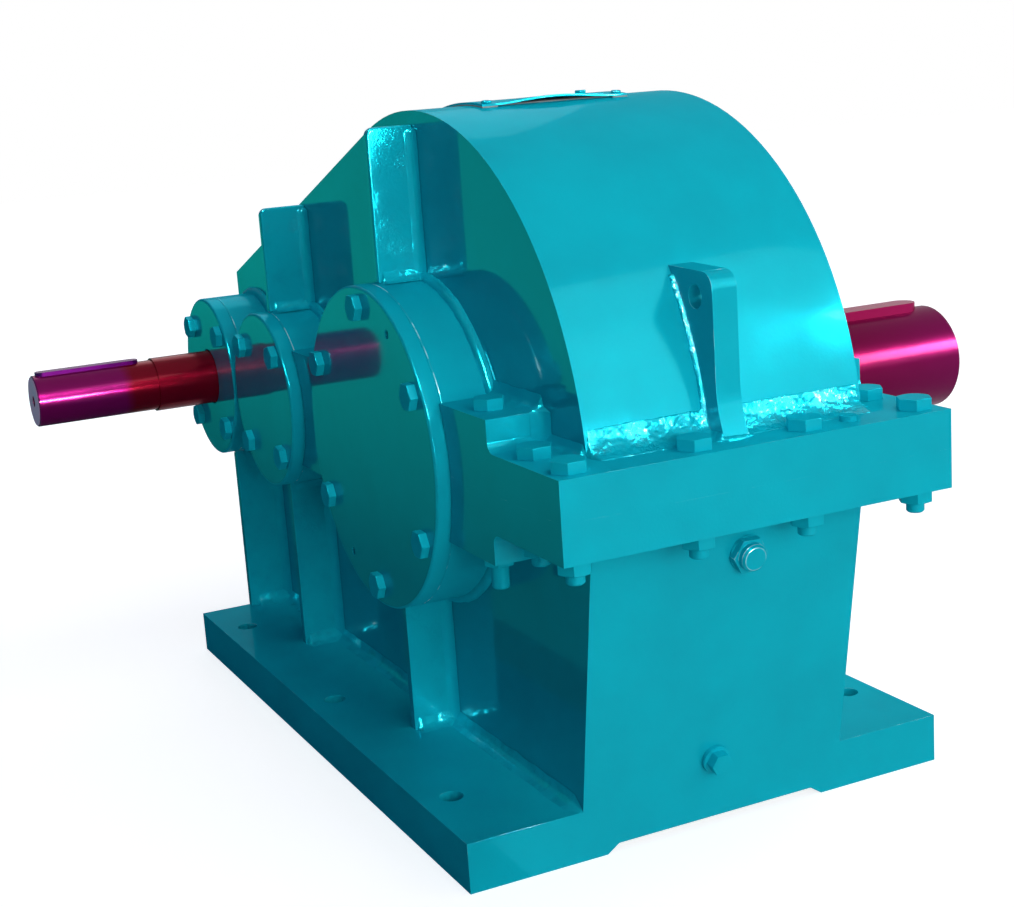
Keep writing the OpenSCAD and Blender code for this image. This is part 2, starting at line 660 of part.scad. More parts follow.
// Output shaft.
hub_x0 = wheel_x - 75;
hub_x1 = wheel_x + 75;
seat_r = 82.5;
out_in_x = brg_x[0] - out_brg_b;
mid_in_x = brg_x[1] - mid_brg_b;
in_in_x = brg_x[2] - in_brg_b;
// A round-ended key lying along X on top of a shaft, from z0 to z1 above the axis.
module key_body(x0, x1, w, z0, z1) translate([0, 0, z0]) linear_extrude(z1 - z0) {
    translate([x0 + w / 2, -w / 2]) square([x1 - x0 - w, w]);
    translate([x0 + w / 2, 0]) circle(w / 2);
    translate([x1 - w / 2, 0]) circle(w / 2);
}
out_r = out_shaft_d / 2;
in_r = in_shaft_d / 2;
key_out = [out_shaft_end - 226, out_shaft_end - 26, 36, out_r - 12, out_r + 10];
key_in = [-in_shaft_end + 6, -in_shaft_end + 158, 20, in_r - 7.5, in_r + 4.5];
module output_shaft() color(crimson) at_axis(out_y) difference() {
    union() {
        chamfered_rod(-brg_x[0] - 3, hub_x0 + 1, out_brg_d / 2, 2);
        rod(hub_x0, hub_x1, seat_r);
        rod(hub_x1, hub_x1 + 20, 97);
        rod(hub_x1 + 19, out_in_x, 86);
        rod(out_in_x - 1, out_shaft_end - out_shaft_len, out_brg_d / 2);
        chamfered_rod(out_shaft_end - out_shaft_len - 4, out_shaft_end, out_r, 2.5);
    }
    key_body(key_out[0], key_out[1], key_out[2], key_out[3], out_r + 5);
    key_body(hub_x0 + 8, hub_x1 - 8, 40, seat_r - 13, seat_r + 5);
    rod(out_shaft_end - 50, out_shaft_end + 1, 12);
}
module output_key() color(crimson) at_axis(out_y) key_body(key_out[0], key_out[1],
    key_out[2], key_out[3], key_out[4]);
module wheel_key() color(steel) at_axis(out_y)
    key_body(hub_x0 + 8, hub_x1 - 8, 40, seat_r - 13, seat_r + 9);
module spacer_out() color(steel) at_axis(out_y)
    tube(-out_in_x, hub_x0, 92, out_brg_d / 2 + seat_gap);
module wheel_hub() color(steel) at_axis(out_y) difference() {
    union() {
        tube(hub_x0, hub_x1, hub_r, seat_r);
        tube(wheel_x - 16, wheel_x + 16, rim_r - 20, hub_r - 2);
        tube(wheel_x - low_face / 2, wheel_x + low_face / 2, rim_r, rim_r - 24);
    }
    for (i = [0 : 5]) rotate([i * 60 + 30, 0, 0]) translate([0, 187, 0])
        rod(wheel_x - 20, wheel_x + 20, 36);
    translate([hub_x0 - 1, -20, seat_r - 8]) cube([hub_x1 - hub_x0 + 2, 40, 17]);
}
module wheel_rim() color(steel) at_axis(out_y) difference() {
    teeth(low_wheel_z, low_module, low_cos, low_beta, wheel_x, low_face, 1, 3,
        180 / low_wheel_z);
    rod(wheel_x - low_face, wheel_x + low_face, rim_r);
}

// Middle shaft.
module mid_shaft() color(steel) at_axis(mid_y) difference() {
    union() {
        chamfered_rod(-brg_x[1] - 2, high_x - 45 + 1, mid_brg_d / 2, 1.5);
        rod(high_x - 45, high_x + 45, 45);
        rod(high_x + 45, wheel_x - low_face / 2 - 1, 58);
        teeth(low_pinion_z, low_module, low_cos, low_beta, wheel_x, low_face + 5, -1, 6);
        rod(wheel_x + low_face / 2 + 1, mid_in_x - 14, 58);
        rod(mid_in_x - 15, mid_in_x, 45);
        chamfered_rod(mid_in_x - 4, brg_x[1] + 2, mid_brg_d / 2, 1.5);
    }
    key_body(high_x - 40, high_x + 40, 25, 36, 50);
}
module high_wheel() color(steel) at_axis(mid_y) difference() {
    union() {
        teeth(high_wheel_z, high_module, high_cos, high_beta, high_x, high_face, 1, 2);
        rod(high_x - 45, high_x + 45, 75);
    }
    rod(high_x - 50, high_x + 50, 45);
    translate([high_x - 50, -12.5, 40]) cube([100, 25, 10.4]);
}
module high_wheel_key() color(steel) at_axis(mid_y)
    key_body(high_x - 40, high_x + 40, 25, 36, 50);
module spacer_mid() color(steel) at_axis(mid_y)
    tube(-mid_in_x, high_x - 45, 52, mid_brg_d / 2 + seat_gap);

// Input shaft.
module input_shaft() color(crimson) at_axis(in_y) difference() {
    union() {
        chamfered_rod(-in_shaft_end, -in_shaft_end + in_shaft_len + 3, in_r, 2);
        rod(-in_shaft_end + in_shaft_len, -in_in_x + 1, in_brg_d / 2);
        rod(-in_in_x, high_x - high_face / 2 - 1, 46);
        teeth(high_pinion_z, high_module, high_cos, high_beta, high_x, high_face + 5,
            -1, 5, 180 / high_pinion_z);
        rod(high_x + high_face / 2 + 1, in_in_x, 46);
        chamfered_rod(in_in_x - 4, brg_x[2] + 2, in_brg_d / 2, 1.5);
    }
    key_body(key_in[0], key_in[1], key_in[2], key_in[3], in_r + 5);
    rod(-in_shaft_end - 1, -in_shaft_end + 36, 8);
}
module input_key() color(crimson) at_axis(in_y) key_body(key_in[0], key_in[1],
    key_in[2], key_in[3], key_in[4]);

lower_casing();
lower_flange();
lower_housings();
lower_ribs();
upper_casing();
upper_flange();
upper_housings();
upper_ribs();
lifting_lugs();
inspection_cover();
inspection_gasket();
inspection_screws();
vent_plug();
flange_bolts();
flange_nuts();
boss_bolts();
boss_nuts();
dowel_pins();
cover_out_blind();
cover_out_through();
cover_mid_left();
cover_mid_right();
cover_in_through();
cover_in_blind();
cover_gaskets();
cover_screws();
level_plug();
drain_plug();
seal_washers();
oil_seals();
outer_rings_out();
outer_rings_mid();
outer_rings_in();
output_shaft();
wheel_rim();
wheel_hub();
wheel_key();
spacer_out();
output_key();
inner_rings_out();
mid_shaft();
high_wheel();
high_wheel_key();
spacer_mid();
inner_rings_mid();
input_shaft();
input_key();
inner_rings_in();
cage_out_left();
rollers_out_left();
cage_out_right();
rollers_out_right();
cage_mid_left();
rollers_mid_left();
cage_mid_right();
rollers_mid_right();
cage_in_left();
rollers_in_left();
cage_in_right();
rollers_in_right();
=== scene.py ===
# %% [markdown]
# # A painted helical gearbox
# This notebook dresses the imported model of a two-stage helical gearbox: a welded
# casing in two halves, bolted along a thick flange and sprayed all over, screws
# included, with glossy teal enamel. Two lacquered shafts leave it on opposite sides.
# The imported model is exact but has knife-sharp edges and plain colours. Here the
# edges are rounded as paint rounds them, the weld beads are laid along the joints,
# and each finish gets a material of its own. We start by loading the frame.

# %% Load the frame
import json
import math
import bpy
from mathutils import Matrix, Vector


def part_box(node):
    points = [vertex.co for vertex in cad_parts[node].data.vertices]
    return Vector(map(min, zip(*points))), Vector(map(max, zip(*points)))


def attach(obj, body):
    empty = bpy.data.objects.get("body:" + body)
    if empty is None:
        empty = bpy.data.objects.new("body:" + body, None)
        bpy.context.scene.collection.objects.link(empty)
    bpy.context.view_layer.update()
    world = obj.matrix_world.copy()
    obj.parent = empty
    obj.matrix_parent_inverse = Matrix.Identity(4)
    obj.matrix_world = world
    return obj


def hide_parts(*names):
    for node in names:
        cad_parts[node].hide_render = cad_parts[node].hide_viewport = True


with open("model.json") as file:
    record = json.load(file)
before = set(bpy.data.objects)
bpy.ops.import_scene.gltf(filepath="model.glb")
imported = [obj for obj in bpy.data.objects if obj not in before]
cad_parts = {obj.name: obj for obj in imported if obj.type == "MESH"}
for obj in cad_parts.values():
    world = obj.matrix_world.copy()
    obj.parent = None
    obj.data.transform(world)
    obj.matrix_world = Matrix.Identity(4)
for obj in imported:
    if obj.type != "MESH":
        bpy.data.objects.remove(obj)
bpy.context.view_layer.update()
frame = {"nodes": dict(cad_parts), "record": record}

# %% [markdown]
# ## Places on the casing
# X runs along the shafts, Y away from the photographer and Z up, all in metres. The
# output, middle and input shaft lie side by side in the joint between the two halves
# of the casing. Several steps below need these places, so they are named once.

# %% Name the places
plate = 0.1725
axis_z = 0.422
out_y, mid_y, in_y = -0.158, 0.242, 0.492
flange_half = 0.044
flange_top = axis_z + flange_half
flange_under = axis_z - flange_half
base_top = 0.058
rib_half = 0.006
print("flange from", round(flange_under, 4), "to", round(flange_top, 4))

# %% [markdown]
# ## Camera
# A camera was fitted to corners, holes and circles of the photograph. Its place is in
# metres, and its turn is built from three arrows: where it looks, which way is right
# and which way is up. The small roll tilts the verticals as the photograph does. The
# focal length in pixels becomes a lens length once the picture is 1014 wide and the
# sensor 36 mm.

# %% Set up the camera
eye = Vector((-0.9790, -2.0547, 0.8662))
yaw, dip, roll = math.radians(-25.4683), math.radians(12.8605), math.radians(-3.868)
picture_width, focal_length, sensor_width = 1014, 1733.4, 36
back = Vector((math.sin(yaw) * math.cos(dip), -math.cos(yaw) * math.cos(dip), math.sin(dip)))
right = (-back).cross(Vector((0, 0, 1))).normalized()
up = right.cross(-back)
rolled_right = right * math.cos(roll) + up * math.sin(roll)
rolled_up = up * math.cos(roll) - right * math.sin(roll)

camera_data = bpy.data.cameras.new("photo_camera")
camera = bpy.data.objects.new("photo_camera", camera_data)
bpy.context.scene.collection.objects.link(camera)
turn = Matrix((rolled_right, rolled_up, back)).transposed().to_4x4()
camera.matrix_world = Matrix.Translation(eye) @ turn
camera_data.sensor_width = sensor_width
camera_data.lens = focal_length * sensor_width / picture_width
camera_data.clip_start, camera_data.clip_end = 0.05, 60
bpy.context.scene.camera = camera
print("lens", round(camera_data.lens, 2), "mm")

# %% [markdown]
# ## Studio
# The paint is a mirror, so what stands round the object matters as much as what lights
# it. The key, front and top lamps give the bright front faces and the lit flange, and
# are hidden from mirror-like rays. A second set does the opposite and is seen by such
# rays alone: two broad lamps draw the highlight on the curved top, three small strong
# ones make the weld beads glitter, and a strip for each shaft draws the stripe along
# it. The left side gets little more than the room, which is why it is so deep a teal
# in the photograph. The background is white only where a camera or a reflection looks
# at it; the light that the object gets from it is much weaker.

# %% A helper for soft lamps
scene = bpy.context.scene
scene.view_settings.view_transform = "Standard"
target = Vector((0, -0.1, 0.4))

def soft_lamp(name, azimuth, elevation, distance, width, height, power, colour=(1, 1, 1)):
    """Azimuth 0 is in front of the object, 90 at its right. Power is in watts."""
    a, e = math.radians(azimuth), math.radians(elevation)
    way = Vector((math.sin(a) * math.cos(e), -math.cos(a) * math.cos(e), math.sin(e)))
    data = bpy.data.lights.new(name, "AREA")
    data.shape, data.size, data.size_y = "RECTANGLE", width, height
    data.energy, data.color = power, colour
    lamp = bpy.data.objects.new(name, data)
    scene.collection.objects.link(lamp)
    lamp.visible_camera = False
    lamp.matrix_world = (Matrix.Translation(target + way * distance)
                         @ way.to_track_quat("Z", "Y").to_matrix().to_4x4())
    print(name, "at", [round(v, 2) for v in lamp.location])
    return lamp

# %% Place the lamps
# Each row is a name, azimuth and elevation in degrees, distance, width and height in
# metres, and power. A colour follows where the light isn't white.
never_mirrored = (("key_lamp", 42, 25, 4.2, 2.6, 2.6, 34, (1, 1, 0.92)),
                  ("front_lamp", -2, 11, 4.5, 3.0, 2.4, 112, (0.9, 0.96, 1.0)),
                  ("top_lamp", 75, 66, 3.2, 2.2, 2.2, 40))
plain_lamps = (("left_lamp", -75, 18, 4.5, 2.5, 2.5, 2.5, (1.0, 0.85, 0.8)),
               ("rear_lamp", 165, 35, 4.5, 2.5, 2.5, 40))
only_mirrored = (("shine_lamp_low", 22, 17, 4.2, 2.6, 2.6, 20),
                 ("shine_lamp_high", 29, 27, 4.3, 2.5, 3.4, 84),
                 ("spark_lamp_a", -8, 30, 4.0, 0.9, 0.6, 420),
                 ("spark_lamp_b", 58, 20, 4.0, 0.9, 0.6, 320),
                 ("spark_lamp_c", -60, 38, 4.0, 0.8, 0.8, 520),
                 ("strip_lamp_input", 8, 4.8, 4.3, 1.6, 0.5, 600),
                 ("strip_lamp_output", 45, 20, 4.3, 0.9, 1.0, 130))
for row in never_mirrored:
    soft_lamp(*row).visible_glossy = False
for row in plain_lamps:
    soft_lamp(*row)
for row in only_mirrored:
    soft_lamp(*row).visible_diffuse = False

# %% Helpers for shader nodes
def empty_tree(block):
    """The cleared nodes and the links of a new world or material."""
    block.use_nodes = True
    block.node_tree.nodes.clear()
    return block.node_tree.nodes, block.node_tree.links

def combine(nodes, links, operation, *values):
    """Each value is a number or the output of another node."""
    node = nodes.new("ShaderNodeMath")
    node.operation = operation
    for socket, value in zip(node.inputs, values):
        if isinstance(value, (int, float)):
            socket.default_value = value
        else:
            links.new(value, socket)
    return node.outputs[0]

def map_range(nodes, links, value, span, result=(0, 1)):
    node = nodes.new("ShaderNodeMapRange")
    links.new(value, node.inputs["Value"])
    node.inputs["From Min"].default_value, node.inputs["From Max"].default_value = span
    node.inputs["To Min"].default_value, node.inputs["To Max"].default_value = result
    return node.outputs["Result"]

def ramp(nodes, links, factor, low, high, start=0.3, end=0.7):
    node = nodes.new("ShaderNodeValToRGB")
    node.color_ramp.elements[0].position = start
    node.color_ramp.elements[1].position = end
    node.color_ramp.elements[0].color = (*low, 1)
    node.color_ramp.elements[1].color = (*high, 1)
    links.new(factor, node.inputs["Fac"])
    return node.outputs["Color"]

def looked_at(nodes, links, rays):
    """1 where one of these kinds of ray looks, and otherwise 0."""
    path = nodes.new("ShaderNodeLightPath")
    seen = path.outputs[rays[0]]
    for ray in rays[1:]:
        seen = combine(nodes, links, "MAXIMUM", seen, path.outputs[ray])
    return seen

# %% White backdrop that gives little light
room_colour, room_strength = (0.36, 0.50, 1.0, 1), 0.19
world = bpy.data.worlds.new("studio")
scene.world = world
nodes, links = empty_tree(world)
room = nodes.new("ShaderNodeBackground")
room.inputs["Color"].default_value = room_colour
room.inputs["Strength"].default_value = room_strength
white = nodes.new("ShaderNodeBackground")
white.inputs["Color"].default_value = (1, 1, 1, 1)
white.inputs["Strength"].default_value = 1.0
blend = nodes.new("ShaderNodeMixShader")
links.new(looked_at(nodes, links, ("Is Camera Ray", "Is Glossy Ray", "Is Transmission Ray")),
          blend.inputs[0])
links.new(room.outputs[0], blend.inputs[1])
links.new(white.outputs[0], blend.inputs[2])
links.new(blend.outputs[0], nodes.new("ShaderNodeOutputWorld").inputs[0])
print("world ready")

# %% [markdown]
# ## Floor
# The floor is one pale plane. It must look as white as the backdrop and still take the
# shadow of the feet, so it is an ordinary matt grey surface with a glow added where the
# camera or a reflection sees it. The glow is weaker near the object, where lamps add
# their own light.

# %% Lay the floor
floor_size, floor_grey = 24, 0.48
fade_span, glow_range = (1.0, 4.0), (0.80, 1.0)

def clear_selection():
    if bpy.context.object and bpy.context.object.mode != "OBJECT":
        bpy.ops.object.mode_set(mode="OBJECT")
    bpy.ops.object.select_all(action="DESELECT")

clear_selection()
bpy.ops.mesh.primitive_plane_add(size=floor_size, location=(0, 0, 0))
floor = bpy.context.object
floor.name = "floor"
pale = bpy.data.materials.new("pale_floor")
nodes, links = empty_tree(pale)
matt = nodes.new("ShaderNodeBsdfDiffuse")
matt.inputs["Color"].default_value = (floor_grey, floor_grey, floor_grey, 1)
glow = nodes.new("ShaderNodeEmission")
glow.inputs["Color"].default_value = (1, 1, 1, 1)
away = nodes.new("ShaderNodeVectorMath")
away.operation = "LENGTH"
links.new(nodes.new("ShaderNodeTexCoord").outputs["Object"], away.inputs[0])
fade = map_range(nodes, links, away.outputs["Value"], fade_span, glow_range)
seen = looked_at(nodes, links, ("Is Camera Ray", "Is Glossy Ray"))
links.new(combine(nodes, links, "MULTIPLY", seen, fade), glow.inputs["Strength"])
total = nodes.new("ShaderNodeAddShader")
links.new(matt.outputs[0], total.inputs[0])
links.new(glow.outputs[0], total.inputs[1])
links.new(total.outputs[0], nodes.new("ShaderNodeOutputMaterial").inputs[0])
floor.data.materials.append(pale)
print("floor laid")

# %% [markdown]
# ## Cards that paint a reflection
# A photographer keeps a glossy side deep in colour by standing a dark card where that
# side would mirror the white room. These cards glow instead, dark teal low down and
# green teal higher up, a painted reflection for the left side to mirror. One card
# stands beside the left side and one lies on the floor next to it. Only reflections see
# them.

# %% Glowing cards beside the left side, for a painted reflection
card_fade = (0.10, 0.45)

def reflection_card(name, place, size, lean, low, high):
    """The card glows in one colour up to the first height of card_fade, and turns to the
    other up to the second."""
    clear_selection()
    bpy.ops.mesh.primitive_plane_add(size=1, location=place)
    card = bpy.context.object
    card.name = name
    bpy.ops.object.mode_set(mode="EDIT")
    bpy.ops.mesh.select_all(action="SELECT")
    bpy.ops.transform.resize(value=(*size, 1))
    bpy.ops.transform.rotate(value=math.radians(lean), orient_axis="Y",
                             center_override=card.location)
    bpy.ops.object.mode_set(mode="OBJECT")
    bpy.ops.object.transform_apply(location=True, rotation=True, scale=True)
    reflection_glow = bpy.data.materials.new(name + "_cloth")
    nodes, links = empty_tree(reflection_glow)
    apart = nodes.new("ShaderNodeSeparateXYZ")
    links.new(nodes.new("ShaderNodeTexCoord").outputs["Object"], apart.inputs[0])
    # The card's glow is a painted reflection: the teal that the left faces mirror.
    dark = nodes.new("ShaderNodeEmission")
    links.new(ramp(nodes, links, apart.outputs["Z"], low, high, *card_fade),
              dark.inputs["Color"])
    links.new(dark.outputs[0], nodes.new("ShaderNodeOutputMaterial").inputs[0])
    card.data.materials.append(reflection_glow)
    card.visible_camera = card.visible_diffuse = card.visible_shadow = False
    print(name, "reaches", [round(max(v.co[i] for v in card.data.vertices), 2)
                            for i in range(3)])

# Upright card: dark to green teal glow; floor card: dark teal glow. Both are painted reflection.
reflection_card("dark_card_upright", (-0.59, 1.1, 0.60), (1.226, 3.4), -78,
          (0.003, 0.20, 0.18), (0.010, 0.72, 0.56))
reflection_card("dark_card_on_floor", (-1.5, 0.9, 0.001), (2.52, 4.6), 0,
          (0.002, 0.10, 0.10), (0.002, 0.10, 0.10))

# %% [markdown]
# ## Teal enamel
# Sprayed enamel is a coloured film under a clear skin. Its mirror image is tinted and
# slightly wavy, because the film shrinks over the plate (orange peel) and the plate
# itself was ground by hand. One Principled shader carries it: a part of it is metallic
# so that the reflections take the colour of the paint, and a thin clear coat adds the
# small white glints. Two noises bend the surface, a broad faint one for the hand-ground
# plate and a fine one for the peel, and a third makes the film a little thicker here
# and thinner there. Where the plate is rough, as on welds and ribs, a fourth adds lumps,
# and on some paints one more noise says where they are. All read Object coordinates,
# which are metres on the real thing.

# %% A material builder
def new_material(name):
    material = bpy.data.materials.new(name)
    material.use_nodes = True
    nodes = material.node_tree.nodes
    shader = next(n for n in nodes if n.type == "BSDF_PRINCIPLED")
    return material, nodes, material.node_tree.links, shader

def noise(nodes, links, place, scale, detail=3.0, rough=0.5):
    node = nodes.new("ShaderNodeTexNoise")
    node.inputs["Scale"].default_value = scale
    node.inputs["Detail"].default_value = detail
    node.inputs["Roughness"].default_value = rough
    links.new(place, node.inputs["Vector"])
    return node.outputs["Fac"]

def bump(nodes, links, height, strength, distance, under=None):
    node = nodes.new("ShaderNodeBump")
    node.inputs["Strength"].default_value = strength
    node.inputs["Distance"].default_value = distance
    links.new(height, node.inputs["Height"])
    if under is not None:
        links.new(under, node.inputs["Normal"])
    return node.outputs["Normal"]

# %% The enamel itself
enamel_tint = (0.02, 0.72, 0.85, 1)
patch_span = (0.47, 0.60)
bare_coat, bare_metal, bare_lumps = 0.05, 0.10, 0.15

def enamel(name, lumps=0.0, metal=bare_metal, coat=bare_coat, gloss=(0.12, 0.20),
           thin=(0.004, 0.375, 0.450), thick=(0.003, 0.425, 0.505), skin=1.5, patches=0,
           film=(9, 0.3, 0.7)):
    """With patches, which need lumps, a noise of that scale says where the lumps and the
    gloss are. film is the scale of the noise that turns thin into thick, and between
    which values."""
    material, nodes, links, shader = new_material(name)
    place = nodes.new("ShaderNodeTexCoord").outputs["Object"]
    paint = noise(nodes, links, place, film[0], detail=4)
    links.new(ramp(nodes, links, paint, thin, thick, *film[1:]), shader.inputs["Base Color"])
    wavy = bump(nodes, links, noise(nodes, links, place, scale=11, detail=1),
                strength=0.55, distance=0.0022)
    peel = bump(nodes, links, noise(nodes, links, place, scale=300, detail=2),
                strength=0.20, distance=0.0005, under=wavy)
    if lumps:
        lumpy = noise(nodes, links, place, scale=150, detail=4, rough=0.6)
        peel = bump(nodes, links, lumpy, strength=1.0, distance=lumps, under=peel)
    links.new(peel, shader.inputs["Normal"])
    dull = noise(nodes, links, place, scale=26, detail=5)
    links.new(map_range(nodes, links, dull, (0.3, 0.7), gloss), shader.inputs["Roughness"])
    shader.inputs["Metallic"].default_value = metal
    shader.inputs["Specular IOR Level"].default_value = 0.0
    shader.inputs["Specular Tint"].default_value = enamel_tint
    shader.inputs["Coat Weight"].default_value = coat
    shader.inputs["Coat Roughness"].default_value = 0.05
    shader.inputs["Coat IOR"].default_value = skin
    if patches:
        where = noise(nodes, links, place, patches, detail=4, rough=0.6)
        for socket, least, most in ((shader.inputs["Coat Weight"], bare_coat, coat),
                                    (shader.inputs["Metallic"], bare_metal, metal),
                                    (peel.node.inputs["Strength"], bare_lumps, 1.0)):
            links.new(map_range(nodes, links, where, patch_span, (least, most)), socket)
    print("made", name)
    return material

teal = enamel("teal_enamel")
teal_weld = enamel("teal_enamel_on_weld", lumps=0.0014, metal=0.25, coat=0.5,
                   gloss=(0.14, 0.24), patches=30)
teal_molten = enamel("teal_enamel_on_molten_weld", lumps=0.0045, metal=0.30, coat=0.35,
                     gloss=(0.10, 0.18), patches=24)
teal_rough = enamel("teal_enamel_on_ribs", lumps=0.0008, metal=0.15, coat=0.3, patches=22)
# The darker base colour of the sides is painted shade, the deep teal of the weakly lit left
# side; the full coat is real gloss.
teal_side_painted_shade = enamel("teal_enamel_sides_painted_shade", metal=0.12, coat=1.0, skin=1.8,
                    thin=(0.003, 0.225, 0.300), thick=(0.002, 0.255, 0.335))
# Pale cyan flecks on edges: partly chipped paint, partly painted highlight.
teal_edge_chips_and_highlight = enamel("teal_enamel_edge_chips_and_painted_highlight", lumps=0.0004, metal=0.25, coat=0.25,
                   gloss=(0.14, 0.24), thin=(0.006, 0.390, 0.460),
                   thick=(0.420, 0.830, 0.850), film=(38, 0.50, 0.60))

# %% [markdown]
# ## Lacquered shafts and keys
# The shaft ends are ground steel under a transparent red lacquer, the kind that keeps
# rust away until the coupling is fitted. It shows steel gloss with a red to violet
# colour that drifts along the shaft. The keys are dipped in the same lacquer and show a
# tone of their own. Turning marks run round the shaft, so their noise is stretched:
# many changes along X and few across.

# %% Shaft lacquer
drift_most = 0.12
# The end face's pale colour is painted light, since little lamp light reaches that face.
end_painted_light, no_skin = (1.0, 0.25, 0.50), (0.0, 0.0, 0.0)
turning_marks = (1400, 12, 12)

def swap_where(nodes, links, where, old, tone):
    node = nodes.new("ShaderNodeMixRGB")
    links.new(where, node.inputs["Fac"])
    links.new(old, node.inputs["Color1"])
    node.inputs["Color2"].default_value = (*tone, 1)
    return node.outputs["Color"]

def lacquer(name, stops, rough=0.22, metal=0.30, rings=True, painted_light_end=None):
    """Each stop is a place along X in metres, a colour, and how clear the skin is there.
    Before the place painted_light_end, on the end face, the colour is a pale painted light,
    brighter because little lamp light reaches that face, and there is no clear skin."""
    material, nodes, links, shader = new_material(name)
    place = nodes.new("ShaderNodeTexCoord").outputs["Object"]
    apart = nodes.new("ShaderNodeSeparateXYZ")
    links.new(place, apart.inputs[0])
    start, end = stops[0][0], stops[-1][0]
    along = map_range(nodes, links, apart.outputs["X"], (start, end))
    cloudy = noise(nodes, links, place, scale=22, detail=4)
    drift = combine(nodes, links, "MULTIPLY_ADD", cloudy, drift_most, along)
    shade, skin = nodes.new("ShaderNodeValToRGB"), nodes.new("ShaderNodeValToRGB")
    for bar in (shade, skin):
        while len(bar.color_ramp.elements) < len(stops):
            bar.color_ramp.elements.new(0.5)
        links.new(drift, bar.inputs["Fac"])
    for i, (at, colour, clear) in enumerate(stops):
        share = min(1, drift_most / 2 + (at - start) / (end - start))
        for bar, tone in ((shade, colour), (skin, (clear, clear, clear))):
            bar.color_ramp.elements[i].position = share
            bar.color_ramp.elements[i].color = (*tone, 1)
    colour, clear = shade.outputs["Color"], skin.outputs["Color"]
    # Painted light on the end face, which also loses its clear skin.
    if painted_light_end is not None:
        end_face = combine(nodes, links, "LESS_THAN", apart.outputs["X"], painted_light_end)
        colour = swap_where(nodes, links, end_face, colour, end_painted_light)
        clear = swap_where(nodes, links, end_face, clear, no_skin)
    links.new(colour, shader.inputs["Base Color"])
    links.new(clear, shader.inputs["Coat Weight"])
    soft = bump(nodes, links, noise(nodes, links, place, scale=40, detail=2),
                strength=0.35, distance=0.001)
    if rings:
        squeeze = nodes.new("ShaderNodeMapping")
        squeeze.inputs["Scale"].default_value = turning_marks
        links.new(place, squeeze.inputs["Vector"])
        turned = noise(nodes, links, squeeze.outputs["Vector"], scale=1, detail=2)
        soft = bump(nodes, links, turned, strength=0.12, distance=0.0002, under=soft)
    links.new(soft, shader.inputs["Normal"])
    shader.inputs["Metallic"].default_value = metal
    shader.inputs["Roughness"].default_value = rough
    shader.inputs["Specular IOR Level"].default_value = 0.0
    shader.inputs["Coat Roughness"].default_value = 0.12
    shader.inputs["Coat IOR"].default_value = 1.5
    print("made", name)
    return material

magenta, crimson, violet = (0.16, 0.002, 0.070), (0.15, 0.001, 0.010), (0.09, 0.002, 0.10)
shaft_in = lacquer("lacquered_shaft_in", [(-0.524, magenta, 0.11), (-0.396, magenta, 0.11),
                                          (-0.380, crimson, 0.10), (-0.335, crimson, 0.10)],
                   painted_light_end=-0.5236)
shaft_out = lacquer("lacquered_shaft_out", [(0.25, (0.12, 0.001, 0.016), 0.05),
                                            (0.42, (0.13, 0.002, 0.035), 0.06),
                                            (0.60, (0.15, 0.003, 0.055), 0.07)])
key_in = lacquer("lacquered_key_in", [(-0.518, violet, 0.10), (-0.366, violet, 0.05)],
                 rough=0.22, metal=0.4, rings=False)
key_out = lacquer("lacquered_key_out", [(0.358, (0.24, 0.004, 0.045), 0.06),
                                        (0.558, (0.28, 0.006, 0.070), 0.08)],
                  rough=0.2, metal=0.4, rings=False)

# %% [markdown]
# ## Small and hidden finishes
# The inspection gasket is pressed fibre, the shaft seals are rubber, the cages of the
# bearings are brass and the rest inside is ground or oiled steel. They hardly show from
# outside, but whoever opens the casing sees them.

# %% Plain materials with grain
def grained(name, low, high, scale, rough, metal=0.0, grain=(1, 1, 1), depth=0.3, size=0.0004):
    material, nodes, links, shader = new_material(name)
    place = nodes.new("ShaderNodeTexCoord").outputs["Object"]
    stretch = nodes.new("ShaderNodeMapping")
    stretch.inputs["Scale"].default_value = grain
    links.new(place, stretch.inputs["Vector"])
    mix = noise(nodes, links, stretch.outputs["Vector"], scale, detail=4)
    links.new(ramp(nodes, links, mix, low, high), shader.inputs["Base Color"])
    links.new(bump(nodes, links, mix, depth, size), shader.inputs["Normal"])
    shader.inputs["Metallic"].default_value = metal
    shader.inputs["Roughness"].default_value = rough
    print("made", name)
    return material

fibre = grained("fibre_gasket", (0.010, 0.035, 0.040), (0.020, 0.070, 0.075), 260, 0.8)
rubber = grained("black_rubber", (0.010, 0.010, 0.011), (0.022, 0.022, 0.024), 140, 0.55)
brass = grained("brass_cage", (0.52, 0.36, 0.13), (0.66, 0.47, 0.19), 70, 0.3, 1.0)
ground = grained("ground_steel", (0.52, 0.53, 0.54), (0.66, 0.67, 0.68), 60, 0.22, 1.0,
                 grain=(20, 1, 1), depth=0.15, size=0.0001)
oiled = grained("oiled_gear_steel", (0.26, 0.26, 0.26), (0.42, 0.41, 0.40), 45, 0.3, 1.0)

# %% [markdown]
# ## Hand the finishes to the model's own pieces
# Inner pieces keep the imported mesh. Only their material changes, chosen by the slot
# that the record gives each piece. The cover gaskets and plug washers were painted over
# with the casing.

# %% Assign by slot
by_slot = {"teal_paint": teal, "plug_paint": teal, "gasket": fibre, "seal_washer": teal,
           "seal_rubber": rubber, "shaft_red": shaft_in, "key_pink": key_out,
           "key_violet": key_in, "cage_brass": brass, "bearing_steel": ground,
           "gear_steel": oiled}
slot_of = {part["node"]: part["material_slot"] for part in frame["record"]["subparts"]}

def dress(piece, material):
    piece.data.materials.clear()
    piece.data.materials.append(material)

for node, piece in frame["nodes"].items():
    dress(piece, by_slot[slot_of[node]])
dress(frame["nodes"]["output_shaft"], shaft_out)
dress(frame["nodes"]["cover_gaskets"], teal)
print("dressed", len(frame["nodes"]), "pieces")
